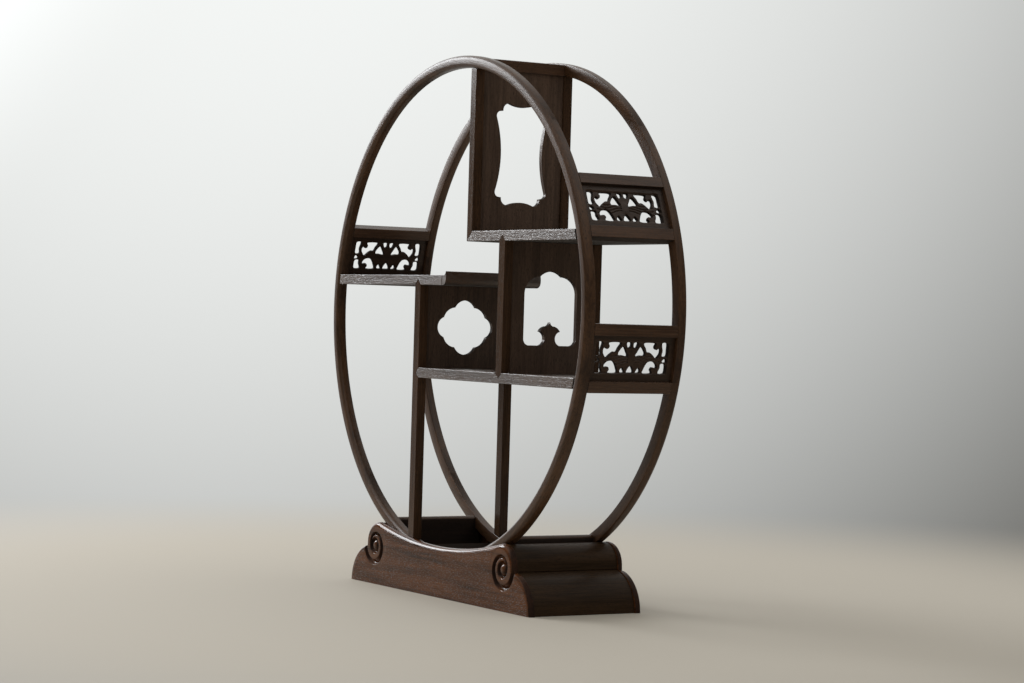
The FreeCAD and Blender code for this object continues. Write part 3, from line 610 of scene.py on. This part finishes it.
# Guard panels: a fine grid with the holes of the drawing left out, its edges pulled on to the outlines.
guardShelves = {        # the shelf that each guard stands on, and its side of the rings
    "upper_right_guard": ("upper_shelf", 1),
    "lower_right_guard": ("bottom_shelf", 1),
    "left_guard": ("left_shelf", -1),
}
guardShape = {
    "panelHeight": 66.5 * mm, "thickness": 7.0 * mm, "tongue": 3.6 * mm,
    "drawnHalf": 73.0, "drawnHeight": 65.1,     # half width and height of the drawing of the holes
    "cell": 0.62 * mm, "leastSlope": 0.3,       # grid spacing, and the least slope that points slide down
    "round": 2.3 * mm, "innerRound": 0.8 * mm, "reliefFade": 1.5 * mm, "crease": 70.0,
}
guardCuts = {           # heights as in the drawing, distances across and depths in millimetres
    "lines": ((32.9, 0.0), (29.6, -0.05), (26.4, -0.11), (36.1, 0.04)),  # height at the middle, and slope
    "sway": 2.0, "swayRun": 7.0, "width": 0.75, "from": 6, "to": 50, "depth": 1.3,
    "ovalHalf": (7.5, 8.5), "ovalAt": 31.5, "swell": 0.9,
    "side": 64, "foot": 9.6, "head": 57.2, "fade": 2.0, "ground": 1.2,      # the field inside the borders
}
pairHoles = [
    [(61, 55.3), (52.4, 55.3), (54.4, 44.5), (53.8, 36.9), (61.6, 36.7), (62.2, 45.4)],
    [(40, 55.1), (21, 55.1), (24.3, 47.5), (27.2, 41.9), (32, 41.7), (37.8, 38), (43, 33.3),
     (46.4, 35.2), (49.7, 40.3), (50, 45.1), (47.4, 48), (44, 45.6), (40.6, 46.7), (39.2, 50.1)],
    [(15.5, 49.6), (22.6, 41.7), (22.4, 37.1), (15.8, 36.9), (7.2, 35.8), (9.8, 42.2)],
    [(9.6, 55.5), (2.6, 55.1), (2.4, 49.9), (5.4, 47.9), (7.8, 48.6)],
    [(60, 33.3), (55.4, 29.8), (56.6, 27.6), (61.6, 27.4), (62.4, 29.6)],
    [(60.4, 25), (52.8, 24.9), (52.4, 19.2), (50, 11.6), (60, 11.2), (62, 16.6)],
    [(36, 28.7), (31, 27.8), (27.4, 24.4), (24, 17.9), (23, 11.4), (37.6, 11.4), (36.2, 16),
     (38.4, 19.8), (42.6, 19.6), (45.8, 19.2), (45.6, 23.1), (41.6, 27.2)],
    [(14.4, 19), (17.8, 14.4), (15.8, 12), (10, 12.1), (11.6, 15.7)],
]
middleHole = [(0, 21.7), (3.8, 17.9), (5.8, 12.3), (0, 11.8), (-5.8, 12.3), (-3.8, 17.9)]


def closedCurve(corners, count=9):
    # smooth closed curve through the corners: on each stretch a cubic with slopes set by its neighbours
    p1 = np.array(corners, float)
    p0, p2, p3 = np.roll(p1, 1, 0), np.roll(p1, -1, 0), np.roll(p1, -2, 0)
    t = np.linspace(0, 1, count, endpoint=False)[None, :, None]
    p0, p1, p2, p3 = (p[:, None] for p in (p0, p1, p2, p3))
    square = 2 * p0 - 5 * p1 + 4 * p2 - p3
    cube = 3 * (p1 - p2) + p3 - p0
    curve = p1 + 0.5 * t * (p2 - p0 + t * (square + t * cube))
    curve = curve.reshape(-1, 2)
    return np.concatenate([curve, curve[:1]])


def insideOf(x, z, path, level=1e-12):
    # true where a line drawn to the right crosses the closed path an odd number of times; a level step of
    # the path is never crossed, and gets a small rise so that nothing is divided by zero
    a, b = path[:-1], path[1:]
    px, pz = x.ravel()[:, None], z.ravel()[:, None]
    crosses = (a[None, :, 1] > pz) != (b[None, :, 1] > pz)
    rise = np.where(b[:, 1] == a[:, 1], level, b[:, 1] - a[:, 1])
    where = a[None, :, 0] + (pz - a[None, :, 1]) / rise[None] * (b - a)[None, :, 0]
    return ((crosses & (px < where)).sum(1) % 2 == 1).reshape(x.shape)


def guardDrawing(shape, half, height):
    # distance from every point of the grid to the nearest hole: positive in the wood, negative in a hole
    cell = shape["cell"]
    low, high = -shape["tongue"], height + shape["tongue"]
    u = np.linspace(-half, half, int(2 * half / cell) + 1)
    v = np.linspace(low, high, int((high - low) / cell) + 1)
    u, v = np.meshgrid(u, v, indexing="ij")
    scale = np.array([half / shape["drawnHalf"], height / shape["drawnHeight"]])
    field = np.full(u.shape, 1.0)       # farther than any hole
    mirrored = [[(-a, b) for a, b in hole] for hole in pairHoles]
    for hole in [middleHole] + pairHoles + mirrored:
        path = closedCurve(hole) * scale
        away = distanceTo(u, v, path)
        field = np.minimum(field, np.where(insideOf(u, v, path), -away, away))
    return u, v, field


def guardRelief(u, v, shape, cuts, height):
    # depth below the border: a sunk field, deeper by bell-shaped cuts along swaying lines that fan out from
    # the middle, and less deep under an oval there
    out = np.abs(u / mm)
    z = v * shape["drawnHeight"] / height
    wave = np.zeros_like(u)
    for rise, bend in cuts["lines"]:
        line = rise + bend * out + cuts["sway"] * np.sin(out / cuts["swayRun"])
        wave = np.maximum(wave, np.exp(-((z - line) / cuts["width"]) ** 2))
    wave = wave * (out > cuts["from"]) * (out < cuts["to"])
    wide, tall = cuts["ovalHalf"]
    oval = np.exp(-((out / wide) ** 2 + ((z - cuts["ovalAt"]) / tall) ** 2) ** 2)
    inset = np.minimum(cuts["side"] - out, np.minimum(z - cuts["foot"], cuts["head"] - z))
    inner = np.clip(inset / cuts["fade"], 0, 1)
    return inner * (cuts["depth"] * wave - cuts["swell"] * oval + cuts["ground"]) * mm


def openWork(shape, cuts, half, height):
    # cells that hold wood are kept, and points on their border slide down the slope of the distance on to
    # the outline; both faces have turned edges, the outer one is cut, and walls join them
    u, v, field = guardDrawing(shape, half, height)
    slopeU, slopeV = np.gradient(field, u[1, 0] - u[0, 0], v[0, 1] - v[0, 0])
    size = np.maximum(np.hypot(slopeU, slopeV), shape["leastSlope"])
    kept = (field[:-1, :-1] + field[1:, :-1] + field[:-1, 1:] + field[1:, 1:]) > 0
    around = np.pad(kept, 1, mode="edge")
    touching = around[:-1, :-1].astype(int) + around[1:, :-1] + around[:-1, 1:] + around[1:, 1:]
    onEdge = (touching > 0) & (touching < 4)
    pull = np.where(onEdge, field / size, 0)
    u = u - pull * slopeU / size
    v = v - pull * slopeV / size
    gap = np.where(onEdge, 0, np.maximum(field, 0))
    inside = shape["thickness"] / 2 - turnedEdge(gap, shape["innerRound"])
    outside = shape["thickness"] / 2 - turnedEdge(gap, shape["round"])
    relief = guardRelief(u, v, shape, cuts, height)
    outside = outside - relief * np.clip(gap / shape["reliefFade"], 0, 1)
    rows, columns = u.shape
    total = rows * columns
    quads = gridQuads(rows, columns)[kept.ravel()]
    index = np.arange(total).reshape(rows, columns)
    full = np.pad(kept, 1)
    edges = []
    for a, b, change in ((index[:, :-1], index[:, 1:], full[1:, 1:-1] != full[:-1, 1:-1]),
                         (index[:-1, :], index[1:, :], full[1:-1, 1:] != full[1:-1, :-1])):
        edges.append(np.stack([a[change], b[change]], 1))
    start, end = np.concatenate(edges).T
    walls = np.stack([start, end, end + total, start + total], 1)
    flat = np.concatenate([np.stack([u, v, w], 2).reshape(-1, 3) for w in (outside, -inside)])
    faces = np.concatenate([quads, quads[:, ::-1] + total, walls])
    used, faces = np.unique(faces, return_inverse=True)
    return flat[used], faces.reshape(-1, 4).tolist()


def makeGuards(shape, cuts):
    # the flat panel stands on the chord of its stretch of the rings, square to the ray through its middle
    middle = ringRadius - ringShape["width"] / 2
    inner = ringRadius - ringShape["width"]
    half = -ringHigh[1]         # from the middle of the depth to the front ring
    spread = shape["panelHeight"] / middle
    chord = 2 * middle * math.sin(spread / 2)
    reach = middle * math.cos(spread / 2)
    flat, faces = openWork(shape, cuts, half, chord)
    for guard, (shelf, side) in guardShelves.items():
        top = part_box(shelf)[1][2]
        turn = math.asin((top - ringCentre) / inner) + spread / 2
        out = np.array([math.cos(turn), 0, math.sin(turn)])
        up = np.array([-math.sin(turn), 0, math.cos(turn)])
        points = (np.array([0, 0, ringCentre]) + reach * out + flat[:, :1] * np.array([0, 1, 0])
                  + (flat[:, 1:2] - chord / 2) * up + flat[:, 2:] * out)
        node = guard + "_panel"
        mirror = np.array([side, 1, 1])
        mesh = meshFrom(node, points * mirror, faces)
        finishPiece(mesh, node, (0, 1, 0), tuple(up * mirror), crease=shape["crease"])
    print("guard panels pierced, %d points each" % len(flat))


makeGuards(guardShape, guardCuts)


# Straight pieces: the planed shape of each solid, with its sharp edges eased.
straightGrain = {       # the axis that the grain runs along
    "left_shelf": "x", "left_shelf_lip": "y", "upper_shelf": "x", "bottom_shelf": "x",
    "left_front_post": "z", "left_back_post": "z", "centre_front_stile": "z", "centre_back_stile": "z",
    "upper_front_stile": "z", "upper_back_stile": "z",
    "left_partition_panel": "z", "centre_partition_panel": "z", "upper_partition_panel": "z",
    "upper_tie_rail": "y",
    "base_right_bearer": "y", "base_left_bearer": "y",
    "base_right_upper_roll": "y", "base_left_upper_roll": "y",
    "base_right_lower_roll": "y", "base_left_lower_roll": "y",
}
for guard in guardShelves:
    straightGrain[guard + "_top_rail"] = "y"
    straightGrain[guard + "_bottom_rail"] = "y"
easing = {
    "width": 0.7 * mm, "panelWidth": 0.35 * mm, "steps": 2, "angle": 32.0,
    "merge": 0.002 * mm, "flat": 0.2,       # corners this near and faces within these degrees are joined
    "noEnds": ("left_shelf_lip",),          # its ends look like the shelf's edge
}


def mergedCopy(node):
    # a solid's mesh with its loose triangles joined and its flat faces made whole again
    mesh = frame["nodes"][node].data.copy()
    for name in ("custom_normal", "sharp_edge", "sharp_face"):
        if name in mesh.attributes:
            mesh.attributes.remove(mesh.attributes[name])
    level = math.radians(easing["flat"])
    work = bmesh.new()
    work.from_mesh(mesh)
    bmesh.ops.remove_doubles(work, verts=work.verts, dist=easing["merge"])
    bmesh.ops.dissolve_limit(work, angle_limit=level, verts=work.verts, edges=work.edges)
    work.to_mesh(mesh)
    work.free()
    return mesh


def makeStraight(node, axis):
    # faces that look down are darker, which is painted shade, and rougher
    dullAndShade = ("below",) if node in easing["noEnds"] else ("ends", "below")
    piece = finishPiece(mergedCopy(node), node, *axisPairs[axis], crease=easing["angle"], dullAndShade=dullAndShade)
    bevel = piece.modifiers.new("easedEdges", "BEVEL")
    bevel.width = easing["panelWidth" if node.endswith("panel") else "width"]
    bevel.segments = easing["steps"]
    bevel.limit_method = "ANGLE"
    bevel.angle_limit = math.radians(easing["angle"])
    bevel.use_clamp_overlap = False
    bevel.harden_normals = True


for node, axis in straightGrain.items():
    makeStraight(node, axis)
print("straight pieces eased:", len(straightGrain))


# Side ties of the base: a board with a half-round top, finished like the rails, with painted shade on its
# upright sides.
tieShape = {"steps": 25, "finish": "rail_wood", "spare": 0.05 * mm}


def makeTie(node, shape):
    # section across the board: two upright sides and half a circle over them, carried along Y
    low, high = (np.array(corner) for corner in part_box(node))
    radius = (high[0] - low[0]) / 2
    turn = np.linspace(math.pi, 0, shape["steps"])
    section = np.stack([low[0] + radius * (1 + np.cos(turn)), high[2] - radius * (1 - np.sin(turn))], 1)
    section = np.concatenate([[(low[0], low[2])], section, [(high[0], low[2])]])
    ends = (low[1] + shape["spare"], high[1] - shape["spare"])
    points = np.concatenate([np.insert(section, 1, y, axis=1) for y in ends])
    count = len(section)
    faces = gridQuads(2, count, closed=True).tolist()
    faces += [list(range(count)), list(range(count, 2 * count))]
    mesh = meshFrom(node, points, faces)
    # the upright sides, which look along X, are darkened: painted shade
    finishPiece(mesh, node, *axisPairs["y"], dullAndShade=("ends", "sides"), slot=shape["finish"])


for node in ("base_right_tie", "base_left_tie"):
    makeTie(node, tieShape)
print("base ties rounded")


# Hidden pieces: the pins are capped a little under the rings' inner faces, and the rest keep their solids.
hiddenShape = {"pinCap": 0.6 * mm, "bare": ("base_dowels", "base_glue_blocks")}


def makePins(node, side, cap):
    # depth along Y is held to the inner face of the ring, less the cap
    mesh = mergedCopy(node)
    points = np.empty(len(mesh.vertices) * 3)
    mesh.vertices.foreach_get("co", points)
    points = points.reshape(-1, 3)
    points[:, 1] = side * np.minimum(side * points[:, 1], ringHigh[1] - cap)
    mesh.vertices.foreach_set("co", points.ravel())
    mesh.update()
    finishPiece(mesh, node, *axisPairs["y"])


for node, side in (("front_ring_pins", 1), ("back_ring_pins", -1)):
    makePins(node, side, hiddenShape["pinCap"])
bareWood = makeWood("hidden_wood", onObject=True)
for node in hiddenShape["bare"]:
    solid = frame["nodes"][node]
    solid.data.materials.clear()
    solid.data.materials.append(bareWood)
print("hidden pieces finished")


# Room: a pale floor, a tone bright behind, overhead and at the left, and a high window at the front left.
roomLook = {
    "dim": (0.10, 0.096, 0.085),
    "patches": (        # colour, direction of the middle, and the cosines between which it comes in
        ((0.98, 1.0, 0.985), (-0.886, 0.395, 0.242), (0.869, 1.019)),       # behind
        ((0.86, 0.86, 0.84), (0, 0, 1), (0.25, 0.80)),                      # overhead
        ((2.2, 2.25, 2.3), (-0.939, -0.033, 0.342), (0.88, 1.0)),           # a brighter place at the left
    ),
    "floor": (0.47, 0.425, 0.355), "floorRough": 0.8, "floorHalf": 60.0,
    "fade": (0.8, 2.2),                     # metres out, where the floor turns into the backdrop
    "windowAt": (-3.15, -1.50, 2.15), "windowSize": (1.35, 1.9),
    "windowPower": 110.0, "windowColor": (0.95, 0.975, 1.0),
}
cameraView = {
    "place": (3.6016, -2.139, 0.4481), "yaw": 58.964, "pitch": -0.602, "roll": 1.696,
    "lens": 92.75, "sensor": 36.0,
}


def makeRoomTone(look):
    # colour of the room by direction: dim, with each patch blended over it by the cosine to its middle
    tree = bpy.data.node_groups.new("roomTone", "ShaderNodeTree")
    tree.interface.new_socket("Direction", in_out="INPUT", socket_type="NodeSocketVector")
    tree.interface.new_socket("Color", in_out="OUTPUT", socket_type="NodeSocketColor")
    start = addNode(tree, "NodeGroupInput", (-600, 0))
    end = addNode(tree, "NodeGroupOutput", (800, 0))
    unit = addNode(tree, "ShaderNodeVectorMath", (-400, 0), operation="NORMALIZE")
    tree.links.new(start.outputs["Direction"], unit.inputs[0])
    color = look["dim"]
    for row, (tint, towards, turn) in enumerate(look["patches"]):
        lean = addNode(tree, "ShaderNodeVectorMath", (-200, -250 * row), operation="DOT_PRODUCT")
        lean.inputs[1].default_value = towards
        tree.links.new(unit.outputs["Vector"], lean.inputs[0])
        share = mapped(tree, lean.outputs["Value"], (0, -250 * row), turn)
        color = blended(tree, share, color, tint, (200 + 200 * row, 0))
    tree.links.new(color, end.inputs["Color"])
    return tree


roomTone = makeRoomTone(roomLook)


def makeFloorPaint(look):
    # plain paint near the object; far off, what the eye and reflections see is the tone of the room there
    paint = bpy.data.materials.new("pale_floor")
    paint.use_nodes = True
    tree = paint.node_tree
    shader = tree.nodes["Principled BSDF"]
    shader.inputs["Base Color"].default_value = look["floor"] + (1.0,)
    shader.inputs["Roughness"].default_value = look["floorRough"]
    place = addNode(tree, "ShaderNodeTexCoord", (-900, 200)).outputs["Object"]
    length = addNode(tree, "ShaderNodeVectorMath", (-700, 200), operation="LENGTH")
    tree.links.new(place, length.inputs[0])
    far = mapped(tree, length.outputs["Value"], (-500, 200), look["fade"])
    rays = addNode(tree, "ShaderNodeLightPath", (-700, -100)).outputs
    seen = maths(tree, "ADD", (-500, -100), rays["Is Camera Ray"], rays["Is Glossy Ray"])
    seen = maths(tree, "ADD", (-350, -100), seen, rays["Is Transmission Ray"])
    seen = maths(tree, "MULTIPLY", (-200, 100), seen, far)
    sight = addNode(tree, "ShaderNodeVectorMath", (-400, -300), operation="SUBTRACT")
    sight.inputs[1].default_value = cameraView["place"]
    tone = addNode(tree, "ShaderNodeGroup", (-200, -300), node_tree=roomTone)
    glow = addNode(tree, "ShaderNodeEmission", (0, -300))
    mix = addNode(tree, "ShaderNodeMixShader", (300, 0))
    tree.links.new(place, sight.inputs[0])
    tree.links.new(sight.outputs["Vector"], tone.inputs["Direction"])
    tree.links.new(tone.outputs["Color"], glow.inputs["Color"])
    tree.links.new(seen, mix.inputs[0])
    tree.links.new(shader.outputs["BSDF"], mix.inputs[1])
    tree.links.new(glow.outputs["Emission"], mix.inputs[2])
    tree.links.new(mix.outputs["Shader"], tree.nodes["Material Output"].inputs["Surface"])
    return paint


def makeFloor(look):
    h = look["floorHalf"]
    floorMesh = bpy.data.meshes.new("floor")
    floorMesh.from_pydata([(-h, -h, 0), (h, -h, 0), (h, h, 0), (-h, h, 0)], [], [(0, 1, 2, 3)])
    floorMesh.materials.append(makeFloorPaint(look))
    floor = bpy.data.objects.new("floor", floorMesh)
    bpy.context.scene.collection.objects.link(floor)


def makeWorld():
    world = bpy.data.worlds.new("room")
    world.use_nodes = True
    bpy.context.scene.world = world
    tree = world.node_tree
    place = addNode(tree, "ShaderNodeTexCoord", (-500, 0))
    tone = addNode(tree, "ShaderNodeGroup", (-250, 0), node_tree=roomTone)
    tree.links.new(place.outputs["Generated"], tone.inputs["Direction"])    # a direction, in a world
    tree.links.new(tone.outputs["Color"], tree.nodes["Background"].inputs["Color"])


def levelAxes(forward):
    # right and up of something that looks along a unit direction and isn't tilted
    right = np.cross(forward, (0, 0, 1))
    right = right / np.linalg.norm(right)
    return right, np.cross(right, forward)


def turnTo(obj, place, axes):
    matrix = np.eye(4)
    matrix[:3, :3] = np.stack(axes, 1)
    matrix[:3, 3] = place
    obj.matrix_world = Matrix(matrix.tolist())


def makeWindow(look):
    # it looks level, at the upright line over the middle of the floor
    lamp = bpy.data.lights.new("window", "AREA")
    lamp.shape = "RECTANGLE"
    lamp.size, lamp.size_y = look["windowSize"]
    lamp.energy = look["windowPower"]
    lamp.color = look["windowColor"]
    window = bpy.data.objects.new("window", lamp)
    bpy.context.scene.collection.objects.link(window)
    forward = np.array((0, 0, look["windowAt"][2]), float) - np.array(look["windowAt"], float)
    forward = forward / np.linalg.norm(forward)
    right, up = levelAxes(forward)
    turnTo(window, look["windowAt"], (right, up, -forward))


def makeCamera(view):
    # it looks along the yaw, turned from +Y towards -X, up by the pitch, and is rolled about that line
    yaw, pitch, roll = (math.radians(view[key]) for key in ("yaw", "pitch", "roll"))
    level = math.cos(pitch)
    forward = np.array([-math.sin(yaw) * level, math.cos(yaw) * level, math.sin(pitch)])
    right, up = levelAxes(forward)
    turnedRight = math.cos(roll) * right + math.sin(roll) * up
    turnedUp = math.cos(roll) * up - math.sin(roll) * right
    lens = bpy.data.cameras.new("photoView")
    lens.sensor_width = view["sensor"]
    lens.lens = view["lens"]
    camera = bpy.data.objects.new("photoView", lens)
    bpy.context.scene.collection.objects.link(camera)
    turnTo(camera, view["place"], (turnedRight, turnedUp, -forward))
    bpy.context.scene.camera = camera


makeFloor(roomLook)
makeWorld()
makeWindow(roomLook)
makeCamera(cameraView)
bpy.context.scene.view_settings.view_transform = "Standard"
print("room, window and camera set")
